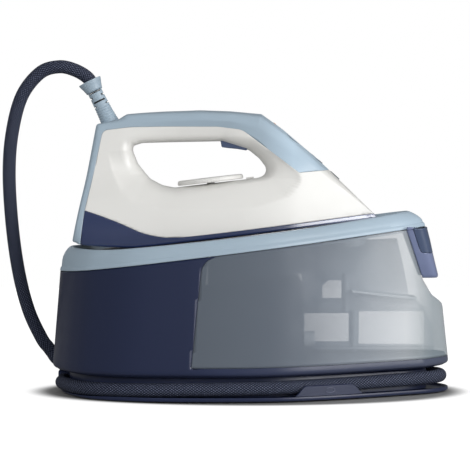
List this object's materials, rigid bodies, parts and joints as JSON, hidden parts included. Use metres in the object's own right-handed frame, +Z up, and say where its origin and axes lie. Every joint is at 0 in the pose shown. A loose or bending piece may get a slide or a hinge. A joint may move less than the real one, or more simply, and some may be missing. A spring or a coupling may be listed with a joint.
{
  "type": "steam generator iron",
  "caption": "Steam generator iron: a hand iron that rests nose up on a boat shaped base with a clear slide-out water tank and a hose groove.",
  "frame": {"origin": "on the table surface under the middle of the base's box, the free hose left out", "axes": "+X towards the nose, +Y towards the iron's left, +Z up"},
  "size_m": [0.4338, 0.2218, 0.3207],
  "materials": {
    "navy_plastic": "satin moulded navy plastic",
    "light_blue_plastic": "satin light grey-blue plastic",
    "white_plastic": "glossy white plastic",
    "clear_plastic": "clear grey-blue moulded tank plastic",
    "grey_rubber": "matt rubber",
    "braid": "woven textile braid over a rubber hose",
    "aluminium": "cast and ground aluminium",
    "steel": "drawn steel",
    "board": "printed circuit board",
    "black_plastic": "black moulded plastic",
    "lens": "tinted indicator lens"
  },
  "bodies": {
    "base": {"foot_plate": "navy_plastic", "foot_pad_1": "grey_rubber", "foot_pad_2": "grey_rubber", "foot_pad_3": "grey_rubber", "foot_pad_4": "grey_rubber", "winding_core": "navy_plastic", "hose_clip": "navy_plastic", "bottom_tray": "navy_plastic", "main_housing": "navy_plastic", "deck": "light_blue_plastic", "rest_mat": "grey_rubber", "boiler": "steel", "boiler_heater": "aluminium", "boiler_thermostat": "black_plastic", "solenoid_valve": "steel", "pump": "black_plastic", "pump_mount": "grey_rubber", "power_board": "board", "water_tube": "black_plastic", "steam_tube": "black_plastic", "dock_socket": "black_plastic", "mains_inlet": "black_plastic", "hose_outlet": "navy_plastic", "hose_wrap": "braid"},
    "drain_plug": {"drain_plug": "navy_plastic"},
    "tank": {"tank_body": "clear_plastic", "tank_lid": "clear_plastic", "tank_baffle": "clear_plastic", "tank_handle": "navy_plastic", "tank_valve": "black_plastic"},
    "fill_cap": {"fill_cap": "navy_plastic"},
    "tank_button": {"tank_release_button": "navy_plastic"},
    "iron": {"body_shell": "white_plastic", "handle_cover": "light_blue_plastic", "heat_shield": "navy_plastic", "soleplate": "aluminium", "steam_chamber": "aluminium", "chamber_cover": "steel", "iron_thermostat": "black_plastic", "iron_board": "board", "microswitch": "black_plastic", "strain_relief": "light_blue_plastic", "heel_screw_1": "steel", "heel_screw_2": "steel", "indicator_lens": "lens", "hose_free": "braid"},
    "trigger": {"steam_trigger": "navy_plastic"},
    "dial": {"temperature_dial": "white_plastic", "dial_shaft": "black_plastic"},
    "steam_button": {"steam_button": "light_blue_plastic"},
    "power_button": {"power_button": "light_blue_plastic"}
  },
  "joints": [
    {"name": "iron_lift", "type": "slide", "parent": "base", "child": "iron", "axis": [-0.1162, 0, 0.9932], "range_m": [0, 0.06]},
    {"name": "tank_slide", "type": "slide", "parent": "base", "child": "tank", "axis": [0.9926, 0, 0.1211], "range_m": [0, 0.13]},
    {"name": "drain_plug_turn", "type": "hinge", "parent": "base", "child": "drain_plug", "pos_m": [-0.12, 0.0986, 0.062], "axis": [0, 1, 0], "range_deg": [0, 90]},
    {"name": "fill_cap_turn", "type": "hinge", "parent": "tank", "child": "fill_cap", "pos_m": [0.095, 0, 0.15059], "axis": [-0.1211, 0, 0.9926], "range_deg": [0, 90]},
    {"name": "tank_button_press", "type": "slide", "parent": "tank", "child": "tank_button", "axis": [-1, 0, 0], "range_m": [0, 0.002], "stiffness_N_per_m": 600},
    {"name": "trigger_pull", "type": "hinge", "parent": "iron", "child": "trigger", "pos_m": [-0.00625, 0, 0.23897], "axis": [0, 1, 0], "range_deg": [0, 4], "stiffness_Nm_per_rad": 0.5},
    {"name": "dial_turn", "type": "hinge", "parent": "iron", "child": "dial", "pos_m": [-0.03981, 0, 0.20484], "axis": [-0.1162, 0, 0.9932], "range_deg": [0, 270]},
    {"name": "steam_button_press", "type": "slide", "parent": "iron", "child": "steam_button", "axis": [-0.638, 0, -0.7701], "range_m": [0, 0.0015], "stiffness_N_per_m": 500},
    {"name": "power_button_press", "type": "slide", "parent": "iron", "child": "power_button", "axis": [-0.638, 0, -0.7701], "range_m": [0, 0.0012], "stiffness_N_per_m": 500}
  ]
}
